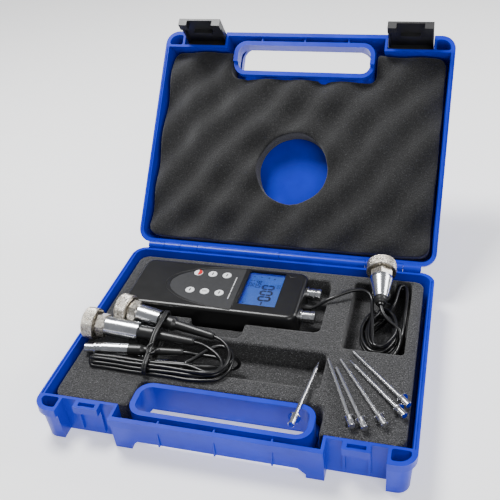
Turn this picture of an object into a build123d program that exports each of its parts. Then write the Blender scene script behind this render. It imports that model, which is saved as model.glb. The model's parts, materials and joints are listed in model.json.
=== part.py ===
from build123d import *
import math
import os

# A handset kit in a hinged carrying case. Millimetres, +Z up, +Y towards the hinge. The origin is
# the centre of the case's underside. The lid is drawn shut, then turned open about the hinge.

# Case: the two halves share one outline and one section
CASE_W, CASE_D, BASE_H, LID_H = 300.0, 228.4, 35.0, 34.0
CORNER_R, WALL, RIM_W = 14.0, 2.4, 4.0
BAND_H, BAND_STEP, DRAFT = 7.0, 2.5, 1.6
RIM_GAP = 0.3
GROOVE_W, GROOVE_H, GROOVE_IN = 1.3, 1.0, 1.5
BACK_Y = CASE_D / 2
# Hinge
HINGE_Y, HINGE_Z = BACK_Y + 2.8, BASE_H + 1.5
BARREL_R, ROD_R, ROD_CLEAR = 3.9, 1.5, 0.05
OPEN_DEG = 133.0
KNUCKLES = (-137.0, -120.0, -103.0, -84.5, 0.0, 84.5, 103.0, 120.0, 137.0)
KNUCKLE_GAP = 0.5
# Handle and the front of the case
RING_X, RING_BACK, RING_FRONT, RING_WALL, RING_R = 73.0, -70.0, -105.0, 4.5, 13.0
LID_RING_SET = 3.9
GRIP_X, BASE_GRIP_Z, LID_GRIP_Z = 70.0, 10.0, 20.0
RECESS_X0, RECESS_X1, RECESS_Y = 84.0, 129.0, -99.5
CATCH_X0, CATCH_X1, CATCH_Y = 96.0, 117.0, -107.0
# Latches
LATCH_Y, LATCH_Z, LATCH_LOW = -104.85, BASE_H + 14.0, 8.0
LATCH_FACE, LATCH_T, LATCH_REST = -111.0, 2.4, 8.0
TRUNNION_R, TRUNNION_CLEAR = 1.75, 0.06
# Foam
FOAM_TOP, FOAM_FLOOR, POCKET_FLOOR = 29.3, 2.8, 9.0
LID_FOAM_LOW = BASE_H + 8.0
# Handset
HS_X0, HS_X1, HS_Y0, HS_Y1, HS_Z0, HS_Z1, HS_WALL = -127.5, 35.5, 23.0, 91.5, 11.0, 39.0, 2.0
HS_SPLIT = 25.0
KEY_R, KEY_CLEAR = 4.25, 0.15
KEYS = [(x, y) for y in (75.0, 48.0) for x in (-70.0, -55.7, -41.5)]
PANEL_X, PANEL_Y, PANEL_A, PANEL_B = -25.0, 57.0, 67.0, 30.0
LCD = (-21.0, 14.0, 36.0, 86.5)
SCREWS = [(x, y) for x in (-121.0, 21.0) for y in (29.5, 85.0)]
SOCKET_Y, SOCKET_X = (44.0, 77.0), 49.0
RELIEF_Y, RELIEF_END = 57.5, 43.5
# Sensor heads, from the ring's face to the boot's end, and plugs, from the tip to the boot's end
HEAD_1 = ((-143.2, -18.0, 43.9), (-42.4, -21.8, 39.4))
HEAD_2 = ((-120.5, 6.0, 43.9), (-28.0, -11.5, 39.0))
HEAD_3 = ((100.8, 107.6, 45.2), (105.9, 56.5, 37.1))
PLUG_A = ((-136.0, -41.0, 35.3), (-49.6, -31.0, 35.0))
PLUG_B = ((-98.0, -32.0, 14.9), (-12.0, -24.0, 14.9))
CAP_R, CAP_L, HEX_R, HEAD_R = 14.0, 11.0, 10.9, 8.5
LEAD_D = 3.2
# Needle probes: tip and head on plan, the height of each, and whether the tip is pointed
NEEDLES = [((64, -19.5, 32.5), (57, -95, 38.6), True), ((71, -14, 31.2), (100.6, -85, 35), False),
           ((79, -22, 31.2), (110, -85, 35), False), ((81, -12, 31.2), (124, -79, 35), False),
           ((88, -11, 31.2), (137.5, -67, 35), True), ((90, -1, 31.2), (139.5, -56, 35), False)]
NEEDLE_R, WASHER_R, STUD_R, STUD_L = 1.6, 4.9, 2.7, 7.5

os.makedirs("parts", exist_ok=True)


def box(x0, x1, y0, y1, z0, z1):
    return Pos((x0 + x1) / 2, (y0 + y1) / 2, (z0 + z1) / 2) * Box(x1 - x0, y1 - y0, z1 - z0)


def slab(x0, x1, y0, y1, z0, z1, r):
    outline = Pos((x0 + x1) / 2, (y0 + y1) / 2, z0) * RectangleRounded(x1 - x0, y1 - y0, r)
    return extrude(outline, z1 - z0)


def drafted(inset0, z0, inset1, z1):
    """A rounded block that grows from one inset of the case's outline to another."""
    faces = []
    for inset, z in ((inset0, z0), (inset1, z1)):
        size = (CASE_W - 2 * inset, CASE_D - 2 * inset, max(CORNER_R - inset, 4.0))
        faces.append(Pos(0, 0, z) * RectangleRounded(*size))
    return loft(faces)


def along(start, end):
    """The plane at start whose Z points at end."""
    return Plane(origin=start, z_dir=Vector(*end) - Vector(*start))


def turned(plane, profile):
    """A round solid on the plane's Z from (radius, distance) points, closed on its axis."""
    pts = [(0, profile[0][1])] + list(profile) + [(0, profile[-1][1])]
    face = Plane.XZ * make_face(Polyline(*[(r, z) for r, z in pts], close=True))
    return plane * revolve(face, Axis.Z)


def save(name, shape):
    export_step(shape, f"parts/{name}.step")


def mirrored(shape):
    return mirror(shape, about=Plane.YZ)


# ---------------------------------------------------------------- case
def half_case(height, grip_z):
    """One half, outer face down on z = 0 and its rim at the height."""
    band = height - BAND_H
    shell = drafted(BAND_STEP + DRAFT, 0, BAND_STEP, band) + slab(
        -CASE_W / 2, CASE_W / 2, -BACK_Y, BACK_Y, band, height, CORNER_R)
    grip = box(-GRIP_X, GRIP_X, -BACK_Y - 1, RING_BACK + 3, -1, grip_z)
    grip = chamfer(grip.edges().filter_by(Axis.Y).group_by(Axis.Z)[-1], grip_z * 0.6)
    shell -= grip
    room = drafted(BAND_STEP + DRAFT + WALL, WALL, RIM_W, height + 0.1)
    over_grip = box(-GRIP_X - WALL, GRIP_X + WALL, -BACK_Y, RING_BACK + 3 + WALL, 0, grip_z + WALL)
    inside = room - chamfer(over_grip.edges().filter_by(Axis.Y).group_by(Axis.Z)[-1], grip_z * 0.6)
    for side in (-1, 1):
        x0, x1 = sorted((side * (RECESS_X0 - WALL), side * (CASE_W / 2)))
        inside -= box(x0, x1, -BACK_Y, RECESS_Y + WALL, 0, height + 1)
    for side in (-1, 1):
        x0, x1 = sorted((side * (RECESS_X1 + WALL), side * (CASE_W / 2 - RIM_W - 0.5)))
        inside += slab(x0, x1, -BACK_Y + RIM_W, RECESS_Y, WALL, height + 0.1, 2.0) & room
    shell -= inside
    ring = (-RING_X, RING_X, RING_FRONT, RING_BACK)
    hole = (-RING_X + RING_WALL, RING_X - RING_WALL, RING_FRONT + RING_WALL, RING_BACK - RING_WALL)
    shell += slab(*ring, grip_z, height, RING_R)
    shell -= slab(*hole, -1, height + 1, RING_R - RING_WALL)
    for x in (-45.0, 0.0, 45.0):
        shell += box(x - 0.7, x + 0.7, -BACK_Y + 2, RING_FRONT + 0.5, grip_z, height - 2.5)
    for side in (-1, 1):
        x0, x1 = sorted((side * RECESS_X0, side * RECESS_X1))
        shell -= box(x0, x1, -BACK_Y - 1, RECESS_Y, -1, height + 1)
    return shell


def rim_line(inset, width, z0, z1):
    """A thin raised loop that follows the rim on the sides, and stops at front and back."""
    lines = slab(-CASE_W / 2 + inset, CASE_W / 2 - inset, -BACK_Y + inset, BACK_Y - inset,
                 z0, z1, CORNER_R - inset)
    inner = inset + width
    lines -= slab(-CASE_W / 2 + inner, CASE_W / 2 - inner, -BACK_Y + inner, BACK_Y - inner,
                  z0, z1, CORNER_R - inner)
    return lines & box(-CASE_W, CASE_W, RECESS_Y + 2, BACK_Y - 12, z0, z1)


def knuckles(first, up):
    """Every second hinge knuckle with its web, and what its neighbours need cut away."""
    keep, cut = [], []
    for i, (x0, x1) in enumerate(zip(KNUCKLES, KNUCKLES[1:])):
        barrel = Pos((x0 + x1) / 2, HINGE_Y, HINGE_Z) * Rot(0, 90, 0)
        if i % 2 == first:
            length = x1 - x0 - KNUCKLE_GAP
            a, b = x0 + KNUCKLE_GAP / 2, x1 - KNUCKLE_GAP / 2
            low, high = (BASE_H + RIM_GAP, BASE_H + BAND_H) if up else (BASE_H - BAND_H, BASE_H)
            keep.append(barrel * Cylinder(BARREL_R, length))
            keep.append(box(a, b, BACK_Y - 1, HINGE_Y, low, high))
            keep.append(box(a, b, HINGE_Y - 3.4, HINGE_Y, min(low, HINGE_Z), max(high, HINGE_Z)))
        else:
            cut.append(barrel * Cylinder(BARREL_R + 0.35, x1 - x0))
    return keep, cut


def hinged(shell, first, up):
    keep, cut = knuckles(first, up)
    for piece in cut:
        shell -= piece
    for piece in keep:
        shell += piece
    bore = Pos(0, HINGE_Y, HINGE_Z) * Rot(0, 90, 0) * Cylinder(ROD_R + ROD_CLEAR, CASE_W)
    return shell - bore


def base_shell():
    shell = half_case(BASE_H, BASE_GRIP_Z)
    catch = box(CATCH_X0, CATCH_X1, CATCH_Y, RECESS_Y + 1, BASE_H - BAND_H, BASE_H)
    for x in (CATCH_X0, CATCH_X1 - 2):
        catch += box(x, x + 2, RECESS_Y - 2, RECESS_Y + 1, 4, BASE_H - BAND_H)
    catch -= box(CATCH_X0 + 3.5, CATCH_X1 - 3.5, CATCH_Y + 2, RECESS_Y - 1.8, BASE_H - 3, BASE_H + 1)
    shell += catch
    shell += mirrored(catch)
    shell -= rim_line(GROOVE_IN, GROOVE_W, BASE_H - GROOVE_H, BASE_H + 1)
    return hinged(shell, 0, False)


def to_lid(shape):
    """From the half case's own height to the shut lid's place."""
    return Pos(0, 0, BASE_H + RIM_GAP + LID_H) * mirror(shape, about=Plane.XY)


def shut_lid():
    shell = to_lid(half_case(LID_H, LID_GRIP_Z))
    low = BASE_H + RIM_GAP
    # The lid's ring stands back from the rim at its rear, clear of what lies across the base's ring
    shell -= box(-RING_X - 0.1, RING_X + 0.1, RING_BACK - RING_R, RING_BACK + 0.1, low - 1,
                 low + LID_RING_SET)
    shell += rim_line(GROOVE_IN + 0.25, GROOVE_W - 0.5, low - 0.8, low + 1)
    for side in (-1, 1):
        x = side * (RECESS_X0 + RECESS_X1) / 2
        trunnion = Cylinder(TRUNNION_R + TRUNNION_CLEAR, RECESS_X1 - RECESS_X0 + 4)
        shell -= Pos(x, LATCH_Y, LATCH_Z) * Rot(0, 90, 0) * trunnion
    return hinged(shell, 1, True)


def opened(shape):
    """Turns a piece of the shut lid to the open rest position."""
    return shape.rotate(Axis((0, HINGE_Y, HINGE_Z), (1, 0, 0)), -OPEN_DEG)


def shut_latch():
    """The left latch, shut: a plate with side ribs, a hook under the catch and two end tabs."""
    x0, x1 = -RECESS_X1 + 0.6, -RECESS_X0 - 0.6
    mid = (x0 + x1) / 2
    plate = box(x0, x1, LATCH_FACE, LATCH_FACE + LATCH_T, LATCH_LOW, LATCH_Z + 4)
    plate = fillet(plate.edges().filter_by(Axis.X).group_by(Axis.Y)[0], 1.0)
    body = plate + Pos(mid, LATCH_Y, LATCH_Z) * Rot(0, 90, 0) * Cylinder(2.9, x1 - x0)
    body += box(x0, x1, LATCH_FACE + 1, LATCH_Y, LATCH_Z - 2.9, LATCH_Z + 2.9)
    body += Pos(mid, LATCH_Y, LATCH_Z) * Rot(0, 90, 0) * Cylinder(TRUNNION_R, x1 - x0 + 3.4)
    for x in (x0, x1 - 8.5):
        body += box(x, x + 8.5, LATCH_FACE + 1, LATCH_FACE + 8.0, LATCH_LOW, LATCH_LOW + 9)
    for x in (x0, x1 - 2.0):
        body += box(x, x + 2.0, LATCH_FACE + 1, LATCH_FACE + 5.5, LATCH_LOW, LATCH_Z)
    hook_top = BASE_H - BAND_H - 0.4
    body += box(-CATCH_X1 + 1, -CATCH_X0 - 1, LATCH_FACE + 1, -104.5, hook_top - 3.4, hook_top)
    for z in (LATCH_LOW + 1.5, LATCH_LOW + 4.5):
        body -= box(x0 + 6, x1 - 6, LATCH_FACE - 1, LATCH_FACE + 0.5, z, z + 1.4)
    return body


def case():
    save("case_base", base_shell())
    save("case_lid", opened(shut_lid()))
    rod = Pos(68.75, HINGE_Y, HINGE_Z) * Rot(0, 90, 0) * Cylinder(ROD_R, 135.5)
    save("hinge_rods", Compound([rod, mirrored(rod)]))
    latch = shut_latch().rotate(Axis((0, LATCH_Y, LATCH_Z), (1, 0, 0)), -LATCH_REST)
    save("latch_left", opened(latch))
    save("latch_right", opened(mirrored(latch)))


# ---------------------------------------------------------------- foam
def foams():
    tray = slab(-142, 141, -92.5, 107, FOAM_FLOOR, FOAM_TOP, 9)
    tray -= slab(-RING_X - 4, RING_X + 4, -130, RING_BACK + 6.4, 0, 40, 6)
    tray -= slab(HS_X0 - 2, 57, HS_Y0 - 2.5, HS_Y1 + 3, HS_Z0 - 0.3, 40, 6)
    tray -= slab(-60, -10, 1, 30, 20, 40, 5)
    tray -= slab(-104, 69, -46, -5, POCKET_FLOOR, 40, 3)
    tray -= slab(78, 131, 5, 97, POCKET_FLOOR, 40, 3)
    tray -= slab(115, 131, 80, 104.8, POCKET_FLOOR, 40, 3)
    save("base_foam", tray)

    top = BASE_H + RIM_GAP + LID_H - WALL - 0.4
    pad = slab(-141, 141, -92.5, 105.5, LID_FOAM_LOW, top, 9)
    pad -= slab(-RING_X - 4, RING_X + 4, -130, RING_BACK + 6.6, 0, 90, 6)
    pad -= Pos(0, BACK_Y - 88.5, 60) * Cylinder(36, 80)
    pad -= box(-150, -58, -37, 24, 0, 61)
    pad -= box(-136, 0, -64, 13, 0, 53)
    pad -= box(82, 120, 50, 120, 0, 63)
    save("lid_foam", opened(pad))


# ---------------------------------------------------------------- handset
def handset_block(inset):
    block = slab(HS_X0 + inset, HS_X1 - inset, HS_Y0 + inset, HS_Y1 - inset,
                 HS_Z0 + inset, HS_Z1 - inset, 9 - inset)
    ends = block.edges().group_by(Axis.Z)
    block = fillet(ends[-1], 4.0 - inset)
    return fillet(block.edges().group_by(Axis.Z)[0], 4.0 - inset)


def panel(grow, z0, z1):
    """The key panel's outline: half an ellipse with its straight edge beside the display."""
    ellipse = extrude(Pos(PANEL_X, PANEL_Y, z0) * Ellipse(PANEL_A + grow, PANEL_B + grow), z1 - z0)
    return ellipse & box(-200, PANEL_X + grow, -50, 200, z0, z1)


def key_holes(r, z0, z1):
    return [Pos(x, y, (z0 + z1) / 2) * Cylinder(r, z1 - z0) for x, y in KEYS]


def handset_shells():
    skin = handset_block(0) - handset_block(HS_WALL)
    for x, y in SCREWS:
        skin += Pos(x, y, 25) * Cylinder(3.6, HS_Z1 - HS_Z0 - 2)
    front = skin & box(-150, 50, 0, 100, HS_SPLIT, 50)
    rear = skin & box(-150, 50, 0, 100, 0, HS_SPLIT)
    front -= panel(0.2, HS_Z1 - 0.5, 50)
    front -= box(*LCD, 30, 50)
    for hole in key_holes(KEY_R + KEY_CLEAR, 30, 50):
        front -= hole
    door = (-118.0, -64.0, 31.0, 82.0)
    rear -= slab(*door, 0, 20, 3)
    cover = slab(door[0] + 0.25, door[1] - 0.25, door[2] + 0.25, door[3] - 0.25,
                 HS_Z0, HS_Z0 + HS_WALL, 2.75)
    for i in range(5):
        cover -= box(-112 + 3 * i, -110.8 + 3 * i, 46, 67, HS_Z0 - 1, HS_Z0 + 0.5)
    save("battery_door", cover)

    screws = []
    for x, y in SCREWS:
        bore = Pos(x, y, 22) * Cylinder(1.55, 26)
        seat = Pos(x, y, 11.5) * Cylinder(2.9, 5)
        front -= bore
        rear -= bore
        rear -= seat
        shaft = Pos(x, y, 23.5) * Cylinder(1.5, 20)
        head = Pos(x, y, 12.9) * Cylinder(2.7, 2) - Pos(x, y, 12.2) * Box(3.8, 0.8, 1)
        screws.append(shaft + head)
    for y in SOCKET_Y:
        bore = Pos(35, y, HS_SPLIT) * Rot(0, 90, 0) * Cylinder(5.0, 8)
        front -= bore
        rear -= bore
    bore = Pos(35, RELIEF_Y, HS_SPLIT) * Rot(0, 90, 0) * Cylinder(3.1, 8)
    save("handset_front_shell", front - bore)
    save("handset_rear_shell", rear - bore)
    save("handset_screws", Compound(screws))


def handset_face():
    overlay = panel(0, HS_Z1 - 0.5, HS_Z1 - 0.1)
    for hole in key_holes(KEY_R + KEY_CLEAR, 30, 50):
        overlay -= hole
    save("keypad_overlay", overlay)
    for i, (x, y) in enumerate(KEYS, 1):
        key = turned(Plane((x, y, 0)), [(1.5, 33.2), (1.5, 36.0), (5.2, 36.0), (5.2, 36.9),
                                        (KEY_R, 36.9), (KEY_R, 39.0), (KEY_R - 0.4, 39.3)])
        save(f"key_{i}", key)
    x0, x1, y0, y1 = LCD
    save("lcd_window", box(x0 - 1.8, x1 + 1.8, y0 - 1, y1 + 0.7, 35.9, 37.0))
    module = box(x0 - 1, x1 + 1, y0 - 0.5, y1 + 0.2, 31.7, 35.8)
    save("lcd_module", module)


def handset_inside():
    board = box(-113, 16, 27, 87, 30.0, 31.6)
    save("main_board", board)
    domes = [turned(Plane((x, y, 0)), [(3.2, 31.7), (3.0, 32.1), (1.6, 32.7)]) for x, y in KEYS]
    save("key_domes", Compound(domes))
    cells, springs = [], []
    for i in range(4):
        y = 38.6 + 12.0 * i
        cell = Plane((-113.5, y, 19.4), z_dir=(1, 0, 0))
        cells.append(turned(cell, [(5.25, 0), (5.25, 43.5), (1.9, 43.5), (1.9, 44.5)]))
        springs.append(turned(cell, [(3.2, -3.0), (1.6, -0.1)]))
        springs.append(turned(cell, [(3.5, 44.7), (3.5, 45.4)]))
    save("batteries", Compound(cells))
    save("battery_springs", Compound(springs))
    save("buzzer", Pos(5, 45, 27.9) * Cylinder(6, 4))
    nuts = []
    for name, y in zip(("socket_front", "socket_rear"), SOCKET_Y):
        axis = Plane((0, y, HS_SPLIT), z_dir=(1, 0, 0))
        socket = turned(axis, [(4.9, 26.5), (4.9, 35.6), (6.6, 35.6), (6.6, 37.2), (5.2, 37.2),
                               (5.2, 38.4), (5.7, 38.8), (5.7, 43.4), (5.3, 43.8), (5.3, 44.6),
                               (5.7, 45.0), (5.7, SOCKET_X - 0.4), (5.3, SOCKET_X)])
        socket -= turned(axis, [(4.3, SOCKET_X - 3), (4.3, SOCKET_X + 1)])
        for k in range(5):
            a = math.radians(72 * k + 90)
            pin = Plane((0, y + 2.4 * math.cos(a), HS_SPLIT + 2.4 * math.sin(a)), z_dir=(1, 0, 0))
            socket += turned(pin, [(0.5, SOCKET_X - 3.1), (0.5, SOCKET_X - 1)])
        save(name, socket)
        nut = turned(axis, [(7.4, 30.2), (7.4, 33.3)]) - turned(axis, [(5.0, 30), (5.0, 34)])
        nuts.append(nut)
    save("socket_nuts", Compound(nuts))
    relief = turned(Plane((0, RELIEF_Y, HS_SPLIT), z_dir=(1, 0, 0)),
                    [(4.2, 31.5), (4.2, 33.3), (3.0, 33.3), (3.0, 36), (2.2, RELIEF_END)])
    save("lead_relief", relief)


# ---------------------------------------------------------------- sensor heads and plugs
def sensor_head(number, start, end, barrel):
    """A head lying from its knurled ring's face to the end of its boot. The barrel is its last
    metal piece, given as (radius, distance) points, and the boot follows it."""
    axis = along(start, end)
    length = (Vector(*end) - Vector(*start)).length
    ring = turned(axis, [(CAP_R - 0.6, 0), (CAP_R, 0.6), (CAP_R, CAP_L - 0.6), (CAP_R - 0.6, CAP_L)])
    ring -= turned(axis, [(11.2, -1), (11.2, 7)])
    ring -= turned(axis, [(8.9, 6), (8.9, CAP_L + 1)])
    save(f"head_{number}_ring", ring)
    face = turned(axis, [(11.0, 2.0), (11.0, 6.8), (4, 6.8)])
    for y in (-4.5, 4.5):
        face -= axis * (Pos(0, y, 3.5) * Cylinder(1.7, 6))
    save(f"head_{number}_insert", face)
    collar = axis * (Pos(0, 0, 12.3) * extrude(RegularPolygon(HEX_R, 6), 7.0))
    collar += turned(axis, [(8.7, 7.0), (8.7, 12.4)])
    save(f"head_{number}_collar", collar)
    save(f"head_{number}_barrel", turned(axis, barrel))
    z = barrel[-1][1]
    wide = min(6.3, barrel[-1][0] - 0.8)
    soft = min(13.0, (length - z) * 0.4)
    boot = [(wide, z), (wide, z + soft), (wide * 0.7, z + soft + 3), (3.3, length - 2), (2.9, length)]
    save(f"head_{number}_boot", turned(axis, boot))


def loose_plug(letter, start, end):
    axis = along(start, end)
    length = (Vector(*end) - Vector(*start)).length
    metal = turned(axis, [(3.9, 0), (4.1, 0.4), (4.1, 8.4), (5.4, 8.8), (5.4, 10.6), (4.7, 10.9),
                          (4.7, 11.9), (5.4, 12.2), (5.4, 14.0), (4.9, 14.3), (4.9, 15.2),
                          (5.6, 15.6), (5.6, 39.0)])
    metal -= turned(axis, [(3.3, -1), (3.3, 3)])
    for k in range(5):
        a = math.radians(72 * k)
        metal += axis * (Pos(1.9 * math.cos(a), 1.9 * math.sin(a), 2.0) * Cylinder(0.45, 2.4))
    save(f"plug_{letter}_shell", metal)
    boot = [(5.0, 39.0), (5.0, 50.0), (3.8, 53.0), (3.1, length - 2), (2.7, length)]
    save(f"plug_{letter}_boot", turned(axis, boot))


def heads():
    sensor_head(1, *HEAD_1, [(HEAD_R, 19.4), (HEAD_R, 50.6)])
    sensor_head(2, *HEAD_2, [(HEAD_R, 19.4), (HEAD_R, 41.4)])
    sensor_head(3, *HEAD_3, [(10.6, 19.4), (10.6, 22.5), (6.6, 43.0), (6.6, 44.0)])
    loose_plug("a", *PLUG_A)
    loose_plug("b", *PLUG_B)


# ---------------------------------------------------------------- leads
def tube(name, points):
    """A lead's open stretch: straight runs joined by arcs as large as the runs allow."""
    pts = [Vector(*p) for p in points]
    radii = []
    for a, b, c in zip(pts, pts[1:], pts[2:]):
        turn = math.radians((b - a).get_angle(c - b))
        shorter = min((b - a).length, (c - b).length)
        radii.append(0.45 * shorter / math.tan(turn / 2))
    path = FilletPolyline(*pts, radius=radii)
    start = Plane(origin=pts[0], z_dir=pts[1] - pts[0])
    solid = sweep(start * Circle(LEAD_D / 2), path=path)
    expected = math.pi * (LEAD_D / 2) ** 2 * path.length
    print(name, "length", round(path.length, 1), "radii", [round(r) for r in radii],
          "volume/expected", round(solid.volume / expected, 4))
    save(name, solid)


def leads():
    tube("lead_a_run", [(RELIEF_END, RELIEF_Y, HS_SPLIT), (48.8, 58.3, 27.4), (54.2, 60.5, 31.2),
                        (60.5, 63, 34.3), (67.5, 67.2, 36), (75, 72.5, 36.8), (82.5, 76.2, 37),
                        (89.5, 76.6, 36.4), (95, 73.0, 34.8), (97.6, 66.8, 32.4), (98.8, 60.8, 29.4)])
    tube("lead_a_tail", [HEAD_3[1], (107.3, 51, 35.6), (111, 46, 33.2), (116, 42, 30.2)])
    coil = extrude(Pos(108, 37.5, 13) * Ellipse(18.5, 31.8), 18)
    coil -= extrude(Pos(108, 37.5, 12) * Ellipse(8, 20), 20)
    lobe = slab(116.2, 129, 30, 104.2, 17, 27, 6) - slab(120.2, 125, 36, 99, 16, 28, 2)
    save("lead_a_coil", coil + lobe)
    tube("lead_b_run", [HEAD_1[1], (-35.5, -22.4, 38.3), (-29, -24.5, 36.4), (-23.5, -28, 33.5)])
    tube("lead_b_tail", [PLUG_A[1], (-44.0, -30.0, 34.6), (-38.5, -30.6, 33.4)])
    tube("lead_c_run", [HEAD_2[1], (-22.5, -13.0, 37.6), (-17.5, -16.5, 35.6)])
    tube("lead_c_tail", [PLUG_B[1], (-6.5, -22.6, 16.2), (-3.6, -21.4, 20.5), (-5.5, -21.8, 25.5),
                         (-8.5, -23.0, 31.5)])
    hank = slab(-127, -10, -58.5, -46.6, 30.9, 39.4, 5.5)
    hank += slab(-46, -8, -58.5, -20, 30.9, 35.4, 8)
    hank += slab(-27, -4.5, -58.5, -9.5, 30.9, 37.4, 8)
    save("lead_hank", hank)


def ties():
    inner = [(-59.1, 30.7), (-59.1, 40.2), (-48, 41.2), (-32, 46.5), (-20, 48.3), (-1, 48.9),
             (5.3, 45.5), (5.3, 30.7)]
    loop = make_face(Polyline(*inner, close=True))
    band = extrude(Plane((-77, 0, 0), x_dir=(0, 1, 0), z_dir=(1, 0, 0)) * (offset(loop, 1.0) - loop), 4)
    save("hank_tie", band)
    axis = along(*HEAD_3)
    tie = turned(axis, [(5.4, 50.6), (5.6, 50.9), (5.6, 53.0), (5.4, 53.3)])
    save("coil_tie", tie - turned(axis, [(3.55, 50), (3.55, 54)]))


# ---------------------------------------------------------------- needle probes
def needles():
    shafts, washers = [], []
    for tip, head, pointed in NEEDLES:
        length = (Vector(*head) - Vector(*tip)).length
        axis = along(tip, head)
        seat = length - STUD_L
        nose = [(0.25, 0), (NEEDLE_R, 9)] if pointed else [(1.2, 0), (NEEDLE_R, 0.5)]
        shafts.append(turned(axis, nose + [(NEEDLE_R, seat), (STUD_R, seat), (STUD_R, length - 0.4),
                                           (STUD_R - 0.4, length)]))
        ring = turned(axis, [(WASHER_R, seat - 1.0), (WASHER_R, seat - 0.1)])
        washers.append(ring - turned(axis, [(NEEDLE_R + 0.1, seat - 2), (NEEDLE_R + 0.1, seat + 1)]))
    save("needle_probes", Compound(shafts))
    save("needle_washers", Compound(washers))


case()
foams()
handset_shells()
handset_face()
handset_inside()
heads()
leads()
ties()
needles()
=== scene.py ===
import json
import math
import random

import bmesh
import bpy
from mathutils import Matrix, Vector, noise


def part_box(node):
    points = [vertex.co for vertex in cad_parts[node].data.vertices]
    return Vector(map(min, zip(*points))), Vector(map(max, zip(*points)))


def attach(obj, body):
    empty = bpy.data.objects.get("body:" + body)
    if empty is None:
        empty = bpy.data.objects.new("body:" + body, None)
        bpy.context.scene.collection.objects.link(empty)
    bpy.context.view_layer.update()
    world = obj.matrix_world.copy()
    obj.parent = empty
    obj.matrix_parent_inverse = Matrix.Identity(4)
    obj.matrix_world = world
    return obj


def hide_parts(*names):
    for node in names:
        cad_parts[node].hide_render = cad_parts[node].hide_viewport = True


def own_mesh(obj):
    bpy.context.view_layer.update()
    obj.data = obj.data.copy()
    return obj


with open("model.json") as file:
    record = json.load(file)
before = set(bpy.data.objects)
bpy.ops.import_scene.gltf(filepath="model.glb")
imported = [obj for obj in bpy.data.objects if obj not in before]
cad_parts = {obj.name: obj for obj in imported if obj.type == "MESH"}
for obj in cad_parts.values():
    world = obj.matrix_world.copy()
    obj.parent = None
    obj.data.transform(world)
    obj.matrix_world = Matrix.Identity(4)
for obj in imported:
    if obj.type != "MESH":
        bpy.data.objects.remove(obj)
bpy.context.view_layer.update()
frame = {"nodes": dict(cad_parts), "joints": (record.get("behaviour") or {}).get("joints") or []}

MM = 0.001
NODES = frame["nodes"]
SCENE = bpy.context.scene
JOINTS = {j["name"]: j for j in frame["joints"]}

# ---------------------------------------------------------------- the lid's own frame
# The lid rests open. lid(x, s, h) is a point from its hinge edge: s towards the free edge and
# h down from the rim into the shell, in millimetres.
HINGE = Vector(JOINTS["lid_hinge"]["pos_m"])
HINGE_SET = 2.8
OPEN = math.radians(JOINTS["lid_hinge"]["range_deg"][1])
BACK_Y, RIM_Z = HINGE.y / MM - HINGE_SET, 35.3
LID_TURN = Matrix.Translation(HINGE) @ Matrix.Rotation(-OPEN, 4, "X") @ Matrix.Translation(-HINGE)


def lid(x, s, h):
    return LID_TURN @ Vector((x * MM, (BACK_Y - s) * MM, (RIM_Z + h) * MM))


def mm(x, y, z):
    return Vector((x * MM, y * MM, z * MM))


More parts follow.
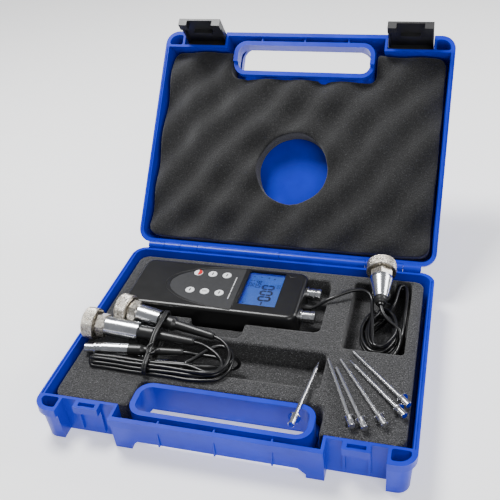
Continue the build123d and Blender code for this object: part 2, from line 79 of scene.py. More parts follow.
# ---------------------------------------------------------------- materials
class Graph:
    """A small helper that builds a material's node tree."""

    def __init__(self, name):
        self.mat = bpy.data.materials.new(name)
        self.mat.use_nodes = True
        self.tree = self.mat.node_tree
        self.shader = self.tree.nodes["Principled BSDF"]
        self.coords = self.tree.nodes.new("ShaderNodeTexCoord").outputs["Object"]

    def node(self, kind, links=(), **values):
        made = self.tree.nodes.new("ShaderNode" + kind)
        for key, value in values.items():
            if hasattr(made, key):
                setattr(made, key, value)
            else:
                made.inputs[key.replace("_", " ")].default_value = value
        for socket, source in dict(links).items():
            self.tree.links.new(source, made.inputs[socket])
        return made

    def put(self, **values):
        for key, value in values.items():
            self.shader.inputs[key.replace("_", " ")].default_value = value

    def link(self, source, socket):
        self.tree.links.new(source, self.shader.inputs[socket])

    def place(self, scale=(1, 1, 1), rotation=(0, 0, 0)):
        made = self.node("Mapping", {"Vector": self.coords})
        made.inputs["Scale"].default_value = scale
        made.inputs["Rotation"].default_value = rotation
        return made.outputs["Vector"]

    def noise(self, scale, detail=3.0, rough=0.6, vector=None):
        made = self.node("TexNoise", {"Vector": vector or self.coords})
        made.inputs["Scale"].default_value = scale
        made.inputs["Detail"].default_value = detail
        made.inputs["Roughness"].default_value = rough
        return made.outputs["Fac"]

    def cells(self, scale):
        made = self.node("TexVoronoi", {"Vector": self.coords})
        made.inputs["Scale"].default_value = scale
        return made.outputs["Distance"]

    def ramp(self, source, stops):
        made = self.node("ValToRGB", {"Fac": source})
        elements = made.color_ramp.elements
        while len(elements) < len(stops):
            elements.new(0.5)
        for element, (place, colour) in zip(elements, stops):
            element.position = place
            element.color = (*colour, 1)
        return made.outputs["Color"]

    def spread(self, source, low, high):
        made = self.node("MapRange", {"Value": source})
        made.inputs["To Min"].default_value = low
        made.inputs["To Max"].default_value = high
        return made.outputs["Result"]

    def tones(self, scale, detail, dark, light):
        """A base colour that drifts between two tones."""
        self.link(self.ramp(self.noise(scale, detail), [(0.3, dark), (0.7, light)]), "Base Color")

    def polish(self, scale, detail, low, high):
        """A roughness that drifts between two values."""
        self.link(self.spread(self.noise(scale, detail), low, high), "Roughness")

    def mix(self, factor, a, b, blend="MIX"):
        """Two colours mixed. Each value is a socket, a plain colour or a plain number."""
        made = self.node("Mix", data_type="RGBA", blend_type=blend)
        for name, value in (("Factor", factor), ("A", a), ("B", b)):
            socket = [s for s in made.inputs if s.name == name and s.enabled][0]
            if isinstance(value, tuple):
                socket.default_value = (*value, 1)
            elif isinstance(value, float):
                socket.default_value = value
            else:
                self.tree.links.new(value, socket)
        return [s for s in made.outputs if s.enabled][0]

    def bump(self, layers):
        """Bumps laid one on another, each (height source, strength, depth in metres)."""
        last = None
        for height, strength, depth in layers:
            made = self.node("Bump", {"Height": height})
            made.inputs["Strength"].default_value = strength
            made.inputs["Distance"].default_value = depth
            if last:
                self.tree.links.new(last, made.inputs["Normal"])
            last = made.outputs["Normal"]
        self.link(last, "Normal")


def case_blue():
    g = Graph("case_blue")
    g.put(IOR=1.5, Specular_IOR_Level=0.32)
    g.tones(26, 4, (0.001, 0.014, 0.42), (0.0016, 0.022, 0.56))
    g.link(g.spread(g.noise(60, 5, 0.7), 0.24, 0.42), "Roughness")
    g.bump([(g.noise(900, 2, 0.5), 0.12, 0.0002), (g.noise(14, 2, 0.5), 0.12, 0.002)])
    return g.mat


def latch_black():
    g = Graph("latch_black")
    g.tones(40, 4, (0.010, 0.010, 0.011), (0.020, 0.020, 0.021))
    g.polish(90, 4, 0.34, 0.5)
    g.bump([(g.noise(1100, 2), 0.15, 0.0002)])
    return g.mat


def foam(name, dark, light, speck, scale):
    """Open-cell foam: cells as fine bumps and specks, and slow changes of tone."""
    g = Graph(name)
    grain = g.noise(scale, 2.5, 0.75)
    pores = g.cells(820)
    base = g.ramp(grain, [(0.40, dark), (0.60, light)])
    sparks = g.ramp(g.noise(scale * 1.3, 1, 0.6), [(0.60, (0, 0, 0)), (0.72, (1, 1, 1))])
    base = g.mix(sparks, base, speck)
    slow = g.ramp(g.noise(22, 3), [(0.3, (0.84, 0.84, 0.84)), (0.7, (1, 1, 1))])
    g.link(g.mix(1.0, base, slow, "MULTIPLY"), "Base Color")
    g.put(Roughness=0.95, Sheen_Weight=0.25, Sheen_Roughness=0.6, Specular_IOR_Level=0.15)
    g.bump([(pores, 0.6, 0.0005), (grain, 0.6, 0.0006)])
    return g.mat


def satin_black(name="satin_black", tone=0.0065, low=0.27, high=0.36):
    g = Graph(name)
    g.tones(30, 3, (tone * 0.85,) * 3, (tone * 1.15,) * 3)
    g.polish(120, 4, low, high)
    g.bump([(g.noise(1500, 2), 0.10, 0.00015)])
    return g.mat


def overlay_grey():
    g = Graph("overlay_grey")
    g.tones(300, 3, (0.017, 0.0175, 0.019), (0.023, 0.0235, 0.025))
    g.polish(160, 3, 0.42, 0.52)
    g.bump([(g.cells(2400), 0.12, 0.0001)])
    return g.mat


def plain(name, dark, light, low, high, scale=80, metal=0.0):
    """A smooth surface with small changes of tone and polish."""
    g = Graph(name)
    g.tones(scale, 4, dark, light)
    g.polish(scale * 1.7, 4, low, high)
    g.put(Metallic=metal)
    g.bump([(g.noise(900, 2), 0.12, 0.0001)])
    return g.mat


def turned_metal(name, axis, dark, light, low, high):
    """Polished metal with lathe lines round an axis: lines vary only along it."""
    g = Graph(name)
    direction = Vector(axis).normalized()
    turn = direction.rotation_difference(Vector((0, 0, 1))).to_euler()
    placed = g.place((1, 1, 60), turn)
    lines = g.noise(28, 4, 0.7, placed)
    g.tones(55, 3, dark, light)
    g.link(g.spread(lines, low, high), "Roughness")
    g.put(Metallic=1.0)
    g.bump([(lines, 0.22, 0.00012)])
    return g.mat


def sandy_nickel():
    """Dull plated metal with a coarse, mottled grain."""
    g = Graph("nickel")
    mottle = g.noise(430, 3, 0.7)
    stops = [(0.32, (0.40, 0.36, 0.30)), (0.50, (0.60, 0.56, 0.49)), (0.68, (0.84, 0.81, 0.75))]
    g.link(g.ramp(mottle, stops), "Base Color")
    g.polish(600, 3, 0.16, 0.42)
    g.put(Metallic=1.0)
    g.bump([(mottle, 0.3, 0.0002)])
    return g.mat


def cord_black():
    g = Graph("cord_black")
    g.tones(70, 3, (0.004, 0.004, 0.0045), (0.007, 0.007, 0.0075))
    g.polish(140, 4, 0.24, 0.36)
    g.bump([(g.noise(300, 2), 0.05, 0.0001)])
    return g.mat


def window_clear():
    g = Graph("window_clear")
    g.put(Roughness=0.04, IOR=1.49, Transmission_Weight=1.0, Base_Color=(0.93, 0.97, 1.0, 1))
    g.bump([(g.noise(30, 2), 0.03, 0.0001)])
    return g.mat


def display_blue_painted_glow():
    """A display with painted glow and painted shade: its emission stands in for light lost through the clear
    window, and it is darker towards its left side, painted shade from the window recess wall.
    """
    g = Graph("display_blue_painted_glow")
    low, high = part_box("lcd_module")
    x = g.node("SeparateXYZ", {"Vector": g.coords}).outputs["X"]
    across = g.node("MapRange", {"Value": x})
    across.inputs["From Min"].default_value = low.x
    across.inputs["From Max"].default_value = high.x
    # The darker left end of this ramp is painted shade from the window recess wall.
    glow = g.ramp(across.outputs["Result"], [(0.0, (0.008, 0.045, 0.36)), (0.16, (0.020, 0.085, 0.40)),
                                             (1.0, (0.030, 0.105, 0.42))])
    g.link(glow, "Base Color")
    # The emission is painted light, not a lamp: it makes up for light lost through the clear window.
    g.link(glow, "Emission Color")
    g.put(Emission_Strength=0.45)
    g.polish(200, 2, 0.25, 0.35)
    return g.mat


MATERIALS = {
    "blue": case_blue(),
    "latch": latch_black(),
    "foam": foam("tray_foam", (0.003, 0.003, 0.0032), (0.040, 0.040, 0.0415), (0.22, 0.22, 0.225), 1000),
    "pad": foam("pad_foam", (0.003, 0.003, 0.0031), (0.0155, 0.0155, 0.016), (0.055, 0.055, 0.057), 900),
    "shell": satin_black(),
    "boot": satin_black("boot_rubber", 0.013, 0.30, 0.44),
    "overlay": overlay_grey(),
    "white": plain("key_white", (0.78, 0.79, 0.80), (0.86, 0.87, 0.88), 0.25, 0.35),
    "red": plain("key_red", (0.50, 0.0, 0.001), (0.57, 0.0, 0.001), 0.45, 0.55),
    "ink": plain("display_ink", (0.006, 0.010, 0.045), (0.009, 0.014, 0.06), 0.3, 0.4),
    "print": plain("print_white", (0.50, 0.50, 0.51), (0.60, 0.60, 0.61), 0.4, 0.5),
    "steel": plain("steel", (0.50, 0.50, 0.52), (0.62, 0.62, 0.63), 0.22, 0.35, 60, 1.0),
    "needle": plain("needle_steel", (0.66, 0.66, 0.68), (0.78, 0.78, 0.79), 0.16, 0.27, 60, 1.0),
    "nickel": sandy_nickel(),
    "board": plain("board_green", (0.008, 0.08, 0.03), (0.012, 0.12, 0.05), 0.3, 0.45, 120),
    "cell": plain("cell_wrap", (0.20, 0.21, 0.22), (0.30, 0.31, 0.33), 0.25, 0.4, 50),
    "insulator": satin_black("insulator", 0.03, 0.35, 0.5),
    "cord": cord_black(),
    "tie": satin_black("tie_black", 0.014, 0.32, 0.45),
    "window": window_clear(),
    # display: its emission is painted glow and its darker left end is painted shade.
    "display": display_blue_painted_glow(),
    # edge: painted shade of the window recess walls, laid on the display.
    "edge": plain("painted_recess_shade", (0.006, 0.02, 0.42), (0.010, 0.03, 0.50), 0.3, 0.4),
    "groove": satin_black("groove_black", 0.006, 0.4, 0.5),
    "sign": plain("key_sign", (0.05, 0.05, 0.05), (0.08, 0.08, 0.08), 0.4, 0.5),
    "chrome": turned_metal("chrome", (1, 0, 0), (0.60, 0.60, 0.61), (0.82, 0.82, 0.83), 0.06, 0.22),
}


def dress(obj, material):
    obj.data.materials.clear()
    obj.data.materials.append(material)


def round_edges(obj, width):
    """Small moulding radii on a CAD node, which keeps its own mesh."""
    bevel = obj.modifiers.new("radii", "BEVEL")
    bevel.width = width * MM
    bevel.segments = 2
    bevel.limit_method = "ANGLE"
    bevel.angle_limit = math.radians(35)
    bevel.harden_normals = True
    bevel.use_clamp_overlap = True


# ---------------------------------------------------------------- camera, light, floor
LENS, SENSOR_W = 52.96, 36.0
CAMERA_AT = (150.0, -457.4, 454.9)
CAMERA_AZ, CAMERA_EL, CAMERA_ROLL = 17.37, 34.52, -4.80
SKY = 0.28
LIGHTS = (("key", (-0.45, 0.25, 1.25), (0, 0.05, 0.05), 0.45, 26),
          ("fill", (0.75, -0.9, 0.9), (0, 0, 0.05), 0.8, 8),
          ("rim", (0.9, 0.7, 0.7), (0, 0.1, 0.1), 0.5, 8))
FLOOR_HALF, FLOOR_DROP, FLOOR_GLOW = 40, 0.0004, 0.62


def camera():
    """The camera, turned about its own view line by its roll."""
    data = bpy.data.cameras.new("camera")
    data.lens = LENS
    data.sensor_width = SENSOR_W
    obj = bpy.data.objects.new("camera", data)
    SCENE.collection.objects.link(obj)
    az, el, roll = [math.radians(angle) for angle in (CAMERA_AZ, CAMERA_EL, CAMERA_ROLL)]
    back = Vector((math.sin(az) * math.cos(el), -math.cos(az) * math.cos(el), math.sin(el)))
    right = Vector((math.cos(az), math.sin(az), 0))
    up = back.cross(right)
    r = right * math.cos(roll) + up * math.sin(roll)
    u = up * math.cos(roll) - right * math.sin(roll)
    turn = Matrix((r, u, back)).transposed().to_4x4()
    obj.matrix_world = Matrix.Translation(mm(*CAMERA_AT)) @ turn
    SCENE.camera = obj


def lights():
    world = bpy.data.worlds.new("world")
    world.use_nodes = True
    sky = world.node_tree.nodes["Background"]
    sky.inputs["Color"].default_value = (0.93, 0.95, 1.0, 1)
    sky.inputs["Strength"].default_value = SKY
    SCENE.world = world
    for name, place, target, size, power in LIGHTS:
        data = bpy.data.lights.new(name, "AREA")
        data.energy = power
        data.size = size
        obj = bpy.data.objects.new(name, data)
        obj.location = place
        obj.rotation_euler = (Vector(target) - Vector(place)).to_track_quat("-Z", "Y").to_euler()
        SCENE.collection.objects.link(obj)


def floor():
    me = bpy.data.meshes.new("floor")
    bm = bmesh.new()
    bmesh.ops.create_grid(bm, x_segments=2, y_segments=2, size=FLOOR_HALF)
    bm.to_mesh(me)
    bm.free()
    obj = bpy.data.objects.new("floor", me)
    obj.location.z = -FLOOR_DROP
    SCENE.collection.objects.link(obj)
    mat = bpy.data.materials.new("floor_white")
    mat.use_nodes = True
    shader = mat.node_tree.nodes["Principled BSDF"]
    shader.inputs["Base Color"].default_value = (0.92, 0.92, 0.92, 1)
    shader.inputs["Roughness"].default_value = 0.9
    shader.inputs["Emission Color"].default_value = (1, 1, 1, 1)
    shader.inputs["Emission Strength"].default_value = FLOOR_GLOW
    me.materials.append(mat)


camera()
lights()
floor()


# ---------------------------------------------------------------- making pieces
def add(name, mesh, key, body, smooth=True):
    """A finished piece that rides a body."""
    obj = bpy.data.objects.new(name, mesh)
    SCENE.collection.objects.link(obj)
    mesh.materials.clear()
    mesh.materials.append(MATERIALS[key])
    mesh.polygons.foreach_set("use_smooth", [smooth] * len(mesh.polygons))
    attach(obj, body)
    return obj


def mesh_of(bm, name):
    me = bpy.data.meshes.new(name)
    bm.normal_update()
    bm.to_mesh(me)
    bm.free()
    return me


def remeshed(mesh, voxel, steps):
    """A closed mesh rebuilt in even voxels and smoothed, which rounds its edges."""
    obj = bpy.data.objects.new("work", mesh)
    SCENE.collection.objects.link(obj)
    remesh = obj.modifiers.new("voxels", "REMESH")
    remesh.mode = "VOXEL"
    remesh.voxel_size = voxel * MM
    smooth = obj.modifiers.new("smooth", "SMOOTH")
    smooth.factor = 0.5
    smooth.iterations = steps
    done = bpy.data.meshes.new_from_object(obj.evaluated_get(bpy.context.evaluated_depsgraph_get()))
    bpy.data.objects.remove(obj)
    return done


def roughen(mesh, scale, depth):
    """Moves each vertex along its normal by noise, in metres."""
    mesh.update()
    normals = [vertex.normal.copy() for vertex in mesh.vertices]
    for vertex, normal in zip(mesh.vertices, normals):
        push = noise.noise(vertex.co * scale) + 0.5 * noise.noise(vertex.co * scale * 2.3)
        vertex.co += normal * push * depth


def tube(name, points, radius, key, body, order=3):
    """A round wire or cord along control points in metres."""
    data = bpy.data.curves.new(name, "CURVE")
    data.dimensions = "3D"
    data.bevel_depth = radius * MM
    data.bevel_resolution = 5
    data.use_fill_caps = True
    spline = data.splines.new("NURBS")
    spline.points.add(len(points) - 1)
    for point, place in zip(spline.points, points):
        point.co = (*place, 1)
    spline.order_u = order
    spline.resolution_u = 6
    spline.use_endpoint_u = True
    data.materials.append(MATERIALS[key])
    obj = bpy.data.objects.new(name, data)
    SCENE.collection.objects.link(obj)
    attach(obj, body)
    return obj


def frame_along(start, end):
    """Z from start to end, the origin at start."""
    start, end = mm(*start), mm(*end)
    turn = (end - start).to_track_quat("Z", "Y").to_matrix().to_4x4()
    return Matrix.Translation(start) @ turn


# ---------------------------------------------------------------- cords
CORD_D = 3.2
HEAD_1 = ((-143.2, -18.0, 43.9), (-42.4, -21.8, 39.4))
HEAD_2 = ((-120.5, 6.0, 43.9), (-28.0, -11.5, 39.0))
HEAD_3 = ((100.8, 107.6, 45.2), (105.9, 56.5, 37.1))
PLUG_A = ((-136.0, -41.0, 35.3), (-49.6, -31.0, 35.0))
PLUG_B = ((-98.0, -32.0, 14.9), (-12.0, -24.0, 14.9))


def inside(piece, depths):
    """Points within a head or plug, on its axis, so far in from the end of its boot."""
    start, end = Vector(piece[0]), Vector(piece[1])
    back = (start - end).normalized()
    return [tuple(end + back * d) for d in depths]


def coil_turns():
    """Turns in the side pocket: round ones on top, then long ones that run up its right side."""
    rng = random.Random(5)
    points = []
    steps = 16
    sizes = [(13.6, 25.5), (11.0, 22.0), (14.8, 28.2), (12.4, 24.2), (15.4, 27.4), (13.0, 26.2)]
    shifts = [(0.2, 0.6), (1.4, -2.0), (-0.4, 0.2), (0.9, 1.6), (-0.2, -0.4), (0.6, 0.6)]
    for i in range(6, steps * len(sizes) + 2):
        t = i / steps
        angle = math.radians(118) + 2 * math.pi * t
        k = min(int(t), len(sizes) - 1)
        wide = sizes[k][0] + rng.uniform(-0.5, 0.5)
        tall = sizes[k][1] + rng.uniform(-0.6, 0.6)
        x = 107.4 + shifts[k][0] + wide * math.cos(angle)
        y = 36.8 + shifts[k][1] + tall * math.sin(angle)
        points.append((x, y, 29.6 - 2.5 * (t - 0.4)))
    for low, rise, inset in ((14.2, 26.0, 0.0), (11.8, 22.6, 0.8), (10.8, 19.2, 0.2)):
        points += [(97 + inset, 46, low), (94.5 + inset, 33, low), (97 + inset, 19, low),
                   (104, 10.6, low), (114, 9.6, low), (122, 15, low + 1), (126.6, 27, low + 2.4),
                   (127.6, 42, rise - 3), (127.6, 60, rise), (127.5 - inset * 0.3, 78, rise),
                   (126.8 - inset * 0.3, 93, rise), (125.0, 101, rise), (122.4, 103.1 - inset, rise),
                   (119.6, 101.3, rise), (118.2, 93, rise), (117.4, 80, rise - 0.6),
                   (114.5, 68, rise - 3), (109, 60.5, low + 2)]
        points += [(102, 54, low)]
    return points[:-1]


def lead_a():
    run = [(43.5, 57.5, 25), (48.8, 58.3, 27.4), (54.2, 60.5, 31.2), (60.5, 63, 34.3),
           (67.5, 67.2, 36), (75, 72.5, 36.8), (82.5, 76.2, 37), (89.5, 76.6, 36.4),
           (95, 73.0, 34.8), (97.6, 66.8, 32.4)]
    tail = [(99, 47, 12.4), (96.8, 33, 12.6), (99, 19, 12.8), (106, 10.8, 13.6), (116, 10.4, 15.2),
            (124, 16.5, 18.6), (127, 27, 24.2), (124.8, 35.6, 28.6), (120.6, 39.4, 30.3),
            (116, 42, 31.4), (111, 46, 33.4), (107.6, 51, 35.6)]
    points = run + coil_turns() + tail + inside(HEAD_3, (0, 6, 14))
    return tube("lead_a", [mm(*p) for p in points], CORD_D / 2, "cord", "base")


# Places of the hank's strands across its front run: y and z, in the order they are filled
ROWS = [(-56.8, 31.1), (-49.6, 36.9), (-53.5, 31.1), (-55.2, 34.0), (-47.0, 31.3), (-53.2, 36.9),
        (-50.8, 33.9), (-44.6, 32.6)]


def strand(row, leftward, phase):
    """One pass along the hank's front: gathered at the tie, looser to the right of it."""
    y, z = ROWS[row]
    points = []
    for x in (-37, -48, -60, -75, -90, -105, -117):
        loose = max(0.0, (x + 75) / 40)
        sway = 0.5 * math.sin(x * 0.11 + phase)
        points.append((x, -53 + (y + 53) * (1 + 0.30 * loose) + sway, z + 0.9 * loose * math.cos(phase)))
    return points if leftward else points[::-1]


def fold(first, second):
    """The tight turn at the hank's left end, from one strand's place to another's."""
    a, b = Vector((0, *ROWS[first])), Vector((0, *ROWS[second]))
    mid, half = (a + b) / 2, (a - b) / 2
    reach = max(half.length, 2.4)
    points = []
    for angle in (30, 75, 105, 150):
        turn = math.radians(angle)
        place = mid + half * math.cos(turn) * 1.15
        points.append((-121.5 - reach * math.sin(turn), place.y, place.z))
    return points


def swing(shrink, z, rise):
    """The loop at the hank's right end, from the front strands round and back to them."""
    loop = [(-25, -57), (-13.5, -54.5), (-7.2, -46), (-6.2, -34), (-8.6, -22.5), (-16, -15),
            (-25.5, -16.5), (-33.5, -25.5), (-41, -36.5), (-50, -45.5)]
    points = []
    for i, (x, y) in enumerate(loop):
        points.append((-22 + (x + 22) * shrink, -38 + (y + 38) * shrink, z + rise * math.sin(i * 0.35)))
    return points


def lead_b():
    start = inside(HEAD_1, (29, 15, 0)) + [(-35.5, -22.4, 38.6), (-28.5, -24.6, 37.2), (-20.5, -29.5, 36.4),
                                           (-14.2, -36, 35.8), (-12.4, -43.5, 35.6), (-16.5, -50.2, 35.8),
                                           (-25.5, -52.0, 36.4)]
    end = [(-25, -53.6, 32.6), (-15.5, -50.4, 33), (-11, -43, 33.4), (-13, -35, 33.6), (-20, -30.4, 33.6),
           (-29.5, -29.8, 33.4), (-38.5, -30.6, 33.6), (-44, -30.6, 34.6)] + inside(PLUG_A, (0, 12, 29))
    points = (start + strand(1, True, 0.3) + fold(1, 0) + strand(0, False, 1.4) + swing(1.0, 31.6, 1.0)
              + strand(2, True, 2.2) + fold(2, 3) + strand(3, False, 0.8) + end)
    return tube("lead_b", [mm(*p) for p in points], CORD_D / 2, "cord", "base")


def lead_c():
    start = inside(HEAD_2, (29, 15, 0)) + [(-22.5, -13.4, 38.8), (-16.2, -17.6, 38.2), (-10.4, -25, 37.6),
                                           (-8.4, -35, 37.2), (-9.8, -45, 37.0), (-15.4, -52, 37.4),
                                           (-25.4, -54.8, 38.0)]
    end = [(-24, -49.6, 34.6), (-14.5, -46.8, 34.4), (-9.2, -40, 34.2), (-7.4, -31.5, 33.6),
           (-7.0, -25.6, 31.0), (-5.4, -22.2, 26.0), (-3.6, -21.4, 20.5),
           (-6.5, -22.6, 16.2)] + inside(PLUG_B, (0, 12, 29))
    points = (start + strand(5, True, 1.9) + fold(5, 4) + strand(4, False, 0.2) + swing(0.86, 34.6, 1.2)
              + strand(7, True, 1.0) + fold(7, 6) + strand(6, False, 2.6) + end)
    return tube("lead_c", [mm(*p) for p in points], CORD_D / 2, "cord", "base")


CORD_A, CORD_B, CORD_C = lead_a(), lead_b(), lead_c()
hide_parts("lead_a_run", "lead_a_coil", "lead_a_tail")
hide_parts("lead_b_run", "lead_b_tail", "lead_hank")
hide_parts("lead_c_run", "lead_c_tail")


# ---------------------------------------------------------------- ties
def ties():
    """Twist ties: wire wound twice round what it holds, its two ends twisted together."""
    hoop = [(-59.9, 33), (-59.6, 38), (-56, 40.6), (-48, 41.6), (-39, 43.2), (-30, 47.2), (-20, 49.6),
            (-8, 49.4), (-1, 50), (5, 47.4), (6.9, 41), (5.6, 34.6), (0, 31.2), (-12, 31.4),
            (-30, 30.2), (-45, 30.2), (-55, 30.2)]
    for i, x in enumerate((-76.2, -74.2)):
        ring = [mm(x + 0.5 * math.sin(k), y, z) for k, (y, z) in enumerate(hoop)]
        wind = tube(f"hank_tie_{i}", ring + ring[:3], 1.15, "tie", "base")
        if i == 0:
            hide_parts("hank_tie")
    twist = []
    for k in range(15):
        angle = k * 0.9
        twist.append(mm(-75 + k * 0.62 + 0.9 * math.cos(angle), -46.5 + k * 0.35 + 0.9 * math.sin(angle),
                        42.4 + 0.24 * k))
    tube("hank_tie_twist", twist, 0.75, "tie", "base")
    ear = [mm(-75.6, -46, 42.6), mm(-77.6, -42.5, 44.4), mm(-76.8, -38.5, 46.2), mm(-73.4, -36.4, 46.6)]
    tube("hank_tie_ear", ear, 0.75, "tie", "base")

    frame_3 = frame_along(*HEAD_3)
    hoop = [frame_3 @ mm(4.4 * math.cos(a / 6 * math.pi), 4.4 * math.sin(a / 6 * math.pi), 49.4 - a * 0.12)
            for a in range(25)]
    wind = tube("coil_tie_wire", hoop, 0.7, "tie", "base")
    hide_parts("coil_tie")
    ears = []
    for side in (-1, 1):
        ear = [frame_3 @ mm(4.2, side * 1.0, 48), frame_3 @ mm(6.0, side * 2.4, 47.4),
               frame_3 @ mm(7.6, side * 4.8, 46), frame_3 @ mm(8.2, side * 6.8, 43.6)]
        ears.append(tube(f"coil_tie_ear_{side + 1}", ear, 0.7, "tie", "base"))
    return [wind, *ears]


COIL_TIE = ties()


# ---------------------------------------------------------------- foam
TRAY_VOXEL, PAD_VOXEL = 1.3, 1.8
SKIN_SCALE, TRAY_SKIN, PAD_SKIN = 420, 0.00016, 0.00014
RIDGE_PITCH, LOBE_PITCH, WAVE_H = 35, 52, 4.0
LID_PAD = {"x": 142.4, "low": 8.6, "high": 209.8, "notch_x": 75.2, "notch_s": 182.0, "hole_s": 88.5,
           "hole_r": 36.5, "front": 8.4, "back": 31.1}


def tray_foam():
    """The tray with its edges softened and an open-cell skin."""
    mesh = NODES["base_foam"].data.copy()
    mesh.transform(NODES["base_foam"].matrix_world)
    mesh = remeshed(mesh, TRAY_VOXEL, 3)
    roughen(mesh, SKIN_SCALE, TRAY_SKIN)
    obj = add("tray_foam", mesh, "foam", "base")
    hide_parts("base_foam")


def wave(x, s):
    """The convoluted face: soft ridges that run up to the right, broken into lobes."""
    across = 0.77 * x - 0.64 * s
    along = 0.64 * x + 0.77 * s
    ridge = math.sin(2 * math.pi * across / RIDGE_PITCH + 0.5 * math.sin(along / 21))
    lobe = math.sin(2 * math.pi * along / LOBE_PITCH + 2.4 * math.sin(across / 27))
    return 0.58 * ridge + 0.42 * lobe


def corner(x, s, r, start):
    """A quarter turn round a centre, from a starting angle in degrees."""
    turns = [math.radians(start + 90 * k / 6) for k in range(7)]
    return [(x + r * math.cos(a), s + r * math.sin(a)) for a in turns]


def pad_outline():
    """The pad's edge, with a notch for the handle, and the round hole in it."""
    pad = LID_PAD
    edge, low, high = pad["x"], pad["low"], pad["high"]
    side, end = pad["notch_x"], pad["notch_s"]
    outer = corner(-edge + 10, low + 10, 10, 180) + corner(edge - 10, low + 10, 10, 270)
    outer += corner(edge - 9, high - 9, 9, 0) + corner(side + 3, high - 3, 3, 90)
    outer += [(side, end + 6), (side - 2, end + 2), (side - 6, end)]
    outer += [(-side + 6, end), (-side + 2, end + 2), (-side, end + 6)]
    outer += corner(-side - 3, high - 3, 3, 0) + corner(-edge + 9, high - 9, 9, 90)
    turns = [k * math.pi / 32 for k in range(64)]
    hole = [(pad["hole_r"] * math.cos(a), pad["hole_s"] + pad["hole_r"] * math.sin(a)) for a in turns]
    return outer, hole


def pad_block():
    """The pad's plain block, filled in millimetres and then scaled to metres."""
    data = bpy.data.curves.new("pad_outline", "CURVE")
    data.dimensions = "2D"
    data.fill_mode = "BOTH"
    data.extrude = (LID_PAD["back"] - LID_PAD["front"]) / 2
    for points in pad_outline():
        spline = data.splines.new("POLY")
        spline.points.add(len(points) - 1)
        for point, (x, s) in zip(spline.points, points):
            point.co = (x, s, 0, 1)
        spline.use_cyclic_u = True
    flat = bpy.data.objects.new("pad_flat", data)
    SCENE.collection.objects.link(flat)
    bpy.context.view_layer.update()
    mesh = bpy.data.meshes.new_from_object(flat.evaluated_get(bpy.context.evaluated_depsgraph_get()))
    bpy.data.objects.remove(flat)
    bm = bmesh.new()
    bm.from_mesh(mesh)
    bmesh.ops.remove_doubles(bm, verts=bm.verts, dist=1e-3)
    bm.transform(Matrix.Scale(MM, 4))
    bm.to_mesh(mesh)
    bm.free()
    return mesh


def lid_pad():
    """The egg-crate pad: waves on the face that looks out of the lid, none at its back."""
    pad = LID_PAD
    mesh = remeshed(pad_block(), PAD_VOXEL, 4)
    half = (pad["back"] - pad["front"]) / 2 * MM
    for vertex in mesh.vertices:
        x, s, h = vertex.co / MM
        share = 0.5 - vertex.co.z / (2 * half)
        rise = WAVE_H * wave(x, s) * max(0.0, min(1.0, share)) ** 1.5
        sag = 0.7 * noise.noise((x * 0.04, s * 0.04, 0))
        vertex.co = lid(x + sag, s + sag, (pad["front"] + pad["back"]) / 2 + h + rise)
    mesh.update()
    roughen(mesh, SKIN_SCALE, PAD_SKIN)
    obj = add("lid_pad", mesh, "pad", "lid")
    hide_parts("lid_foam")
    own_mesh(obj)


tray_foam()
lid_pad()


# ---------------------------------------------------------------- sensor heads
CAP_R, CAP_L = 14.0, 11.0
KNURL_PITCH, KNURL_DEPTH = 1.35, 0.42
KNURL_AROUND, KNURL_ROWS = 420, 44
POLISHED = ((0.56, 0.57, 0.59), (0.80, 0.81, 0.83), 0.07, 0.34)


def knurled_ring(number, ends):
    """A ring with a diamond knurl round it and a bore right through, in two diameters."""
    ridges = 2 * math.pi * CAP_R / KNURL_PITCH
    profile = [(8.95, CAP_L), (12.6, CAP_L), (13.4, CAP_L - 0.25), (13.75, CAP_L - 0.7)]
    for k in range(KNURL_ROWS + 1):
        profile.append((None, CAP_L - 1.0 - (CAP_L - 2.0) * k / KNURL_ROWS))
    profile += [(13.75, 0.7), (13.4, 0.25), (12.6, 0), (11.5, 0), (11.2, 0.3), (11.2, 7), (8.95, 7)]
    bm = bmesh.new()
    rings = []
    for r, z in profile:
        row = []
        for i in range(KNURL_AROUND):
            a = 2 * math.pi * i / KNURL_AROUND
            radius = r
            if r is None:
                left = abs(math.sin(ridges * a / 2 + z * 2.3))
                right = abs(math.sin(ridges * a / 2 - z * 2.3))
                wear = 0.12 * noise.noise((math.cos(a) * 3.1, math.sin(a) * 3.1, z * 0.35 + number))
                radius = CAP_R - KNURL_DEPTH + KNURL_DEPTH * min(1.0, 1.5 * left * right) + wear
            row.append(bm.verts.new((radius * MM * math.cos(a), radius * MM * math.sin(a), z * MM)))
        rings.append(row)
    for a, b in zip(rings, rings[1:] + rings[:1]):
        for i in range(KNURL_AROUND):
            j = (i + 1) % KNURL_AROUND
            bm.faces.new((a[i], a[j], b[j], b[i]))
    bmesh.ops.recalc_face_normals(bm, faces=bm.faces)
    bm.transform(frame_along(*ends))
    obj = add(f"head_{number}_knurl", mesh_of(bm, "knurl"), "nickel", "base")
    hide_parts(f"head_{number}_ring")
    return obj


def polished(name, ends):
    return turned_metal(f"polished_{name}", Vector(ends[1]) - Vector(ends[0]), *POLISHED)


def heads():
    rings = []
    for number, ends in enumerate((HEAD_1, HEAD_2, HEAD_3), 1):
        rings.append(knurled_ring(number, ends))
        dress(NODES[f"head_{number}_barrel"], polished(number, ends))
        dress(NODES[f"head_{number}_collar"], MATERIALS["nickel"])
        dress(NODES[f"head_{number}_insert"], MATERIALS["insulator"])
        dress(NODES[f"head_{number}_boot"], MATERIALS["boot"])
        round_edges(NODES[f"head_{number}_collar"], 0.5)
        round_edges(NODES[f"head_{number}_barrel"], 0.35)
    for letter, ends in (("a", PLUG_A), ("b", PLUG_B)):
        dress(NODES[f"plug_{letter}_shell"], polished(letter, ends))
        dress(NODES[f"plug_{letter}_boot"], MATERIALS["boot"])
        round_edges(NODES[f"plug_{letter}_shell"], 0.2)
    return rings


RINGS = heads()


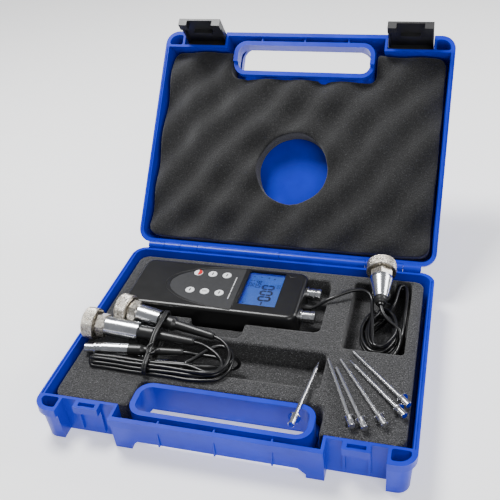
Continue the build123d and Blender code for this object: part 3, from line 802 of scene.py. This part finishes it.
# ---------------------------------------------------------------- handset details
FACE_Z, KEY_TOP, INK_Z = 39.0, 39.3, 35.81
LCD = (-21.0, 14.0, 36.0, 86.5)
KEYS = [(x, y) for y in (75.0, 48.0) for x in (-70.0, -55.7, -41.5)]


def plate(bm, corners, z0, z1):
    """A thin flat piece over an outline in millimetres."""
    low = [bm.verts.new(mm(x, y, z0)) for x, y in corners]
    high = [bm.verts.new(mm(x, y, z1)) for x, y in corners]
    bm.faces.new(high)
    bm.faces.new(low[::-1])
    for i in range(len(corners)):
        j = (i + 1) % len(corners)
        bm.faces.new((low[i], low[j], high[j], high[i]))


def bar(bm, x0, y0, x1, y1, width, z0, z1):
    """A segment with pointed ends, from one point to another."""
    a, b = Vector((x0, y0)), Vector((x1, y1))
    d = (b - a).normalized()
    n = Vector((-d.y, d.x)) * width / 2
    e = d * width / 4
    corners = [a - e, a + e - n, b - e - n, b + e, b - e + n, a + e + n]
    plate(bm, [tuple(c) for c in corners], z0, z1)


SEGMENTS = {"0": "abcdef", "1": "bc", "2": "abged", "3": "abgcd", "5": "afgcd", "8": "abcdefg", "-": "g"}


def digit(bm, figure, x, y, tall, wide, stroke, z0, z1):
    """A seven-segment figure that reads along +Y, its top towards -X."""
    h, w, gap = tall / 2, wide / 2, stroke * 0.2
    runs = {"a": ((-h, -w), (-h, w)), "g": ((0, -w), (0, w)), "d": ((h, -w), (h, w)),
            "f": ((-h, -w), (0, -w)), "b": ((-h, w), (0, w)), "e": ((0, -w), (h, -w)), "c": ((0, w), (h, w))}
    for name in SEGMENTS[figure]:
        (x0, y0), (x1, y1) = runs[name]
        d = Vector((x1 - x0, y1 - y0)).normalized() * gap
        bar(bm, x + x0 + d.x, y + y0 + d.y, x + x1 - d.x, y + y1 - d.y, stroke, z0, z1)


def display():
    """The display's main figures, its small rows and marks, and a darker strip along its left and top sides
    that is painted shade from the window recess walls.
    """
    bm = bmesh.new()
    ink = (INK_Z, INK_Z + 0.05)
    digit(bm, "-", -0.3, 42.2, 9, 5.0, 1.5, *ink)
    for y in (49.3, 57.7, 66.0):
        digit(bm, "0", 0.9, y, 10.4, 5.3, 2.1, *ink)
    for x, row in ((-15.9, "321"), (-9.4, "058")):
        for i, figure in enumerate(row):
            digit(bm, figure, x, 66.2 + 3.7 * i, 4.6, 2.3, 0.85, *ink)
    for y in (66.8, 70.0):
        digit(bm, "0", 10.4, y, 2.6, 1.6, 0.5, *ink)
    for x, y in ((-15.7, 81.0), (-8.8, 81.2), (-17.3, 41.0)):
        bar(bm, x - 0.8, y, x + 0.8, y, 1.1, *ink)
    for x, y in ((-1.4, 80.6), (4.2, 79.4)):
        bar(bm, x - 1.2, y - 0.4, x + 1.0, y + 0.5, 0.8, *ink)
        bar(bm, x, y - 1.3, x, y + 1.2, 0.6, *ink)
    add("display_figures", mesh_of(bm, "figures"), "ink", "base", smooth=False)

    # Painted shade: a darker strip where the window recess walls shade the display's left and top sides.
    bm = bmesh.new()
    x0, x1, y0, y1 = LCD
    plate(bm, [(x0, y0), (x0 + 2.3, y0), (x0 + 2.3, y1 - 2.6), (x1, y1 - 2.6), (x1, y1), (x0, y1)],
          INK_Z, INK_Z + 0.03)
    add("display_painted_recess_shade", mesh_of(bm, "recess_shade_strip"), "edge", "base", smooth=False)


def half_ellipse(cx, cy, a, b, steps):
    """Corners of the key panel's shape: round to the left, straight to the right."""
    turns = [math.radians(90 + 180 * k / steps) for k in range(steps + 1)]
    return [(cx + a * math.cos(t), cy + b * math.sin(t)) for t in turns]


def key_panel():
    """The groove outside the key panel, the printed line beside the display, a moulded arc."""
    rim = half_ellipse(-25, 57, 71.5, 31.0, 40)
    line = [mm(x, y, FACE_Z - 0.12) for x, y in rim]
    line += [mm(-22.9, 57, FACE_Z - 0.12), line[0]]
    tube("panel_groove", line, 0.45, "groove", "base", order=2)

    bm = bmesh.new()
    for y_low, y_high in ((40.6, 49.4), (50.4, 58.8), (59.8, 73.4)):
        plate(bm, [(-31.6, y_low), (-30.7, y_low), (-30.7, y_high), (-31.6, y_high)], FACE_Z, FACE_Z + 0.05)
    add("panel_line", mesh_of(bm, "panel_line"), "print", "base", smooth=False)

    arc = [mm(20.7 + 3.9 * math.cos(math.radians(t)), 85.6 + 3.9 * math.sin(math.radians(t)), FACE_Z - 0.05)
           for t in range(188, 353, 12)]
    tube("moulded_arc", arc, 0.38, "groove", "base")


def key_marks():
    """Plain generic marks: the first key is half red, the others carry a small dark sign."""
    top = (KEY_TOP, KEY_TOP + 0.06)
    bm = bmesh.new()
    first_x, first_y = KEYS[0]
    turns = [math.radians(t) for t in range(-90, 91, 9)]
    half = [(first_x + 3.9 * math.cos(t), first_y + 3.9 * math.sin(t)) for t in turns]
    plate(bm, half, *top)
    add("key_1_half", mesh_of(bm, "half"), "red", "key_1", smooth=False)
    for i, (x, y) in enumerate(KEYS[1:], 2):
        bm = bmesh.new()
        if i == 5:
            for side in (-1.1, 1.1):
                digit(bm, "0", x + side, y, 1.5, 1.3, 0.42, *top)
        else:
            bar(bm, x - 0.1, y - 2.0, x + 0.3, y + 2.0, 1.1, *top)
            bar(bm, x - 0.5, y - 0.9, x - 0.2, y + 0.8, 0.45, *top)
            bar(bm, x + 0.5, y - 0.7, x + 0.8, y + 0.9, 0.45, *top)
        add(f"key_{i}_mark", mesh_of(bm, "mark"), "sign", f"key_{i}", smooth=False)


display()
key_panel()
key_marks()


# ---------------------------------------------------------------- the CAD pieces that show
FINISH = {"case_base": "blue", "case_lid": "blue", "hinge_rods": "steel", "latch_left": "latch",
          "latch_right": "latch", "handset_front_shell": "shell", "handset_rear_shell": "shell",
          "battery_door": "shell", "handset_screws": "steel", "keypad_overlay": "overlay",
          "lcd_window": "window", "lcd_module": "display", "main_board": "board", "key_domes": "steel",
          "batteries": "cell", "battery_springs": "steel", "buzzer": "insulator",
          "socket_front": "chrome", "socket_rear": "chrome", "socket_nuts": "nickel",
          "lead_relief": "boot", "needle_probes": "needle", "needle_washers": "chrome"}
for name, key in FINISH.items():
    dress(NODES[name], MATERIALS[key])
for number in range(1, 7):
    dress(NODES[f"key_{number}"], MATERIALS["white"])
    round_edges(NODES[f"key_{number}"], 0.25)
for name, width in (("case_base", 0.55), ("case_lid", 0.55), ("latch_left", 0.4), ("latch_right", 0.4),
                    ("handset_front_shell", 0.3), ("battery_door", 0.3), ("socket_front", 0.15),
                    ("socket_rear", 0.15), ("needle_washers", 0.2)):
    round_edges(NODES[name], width)
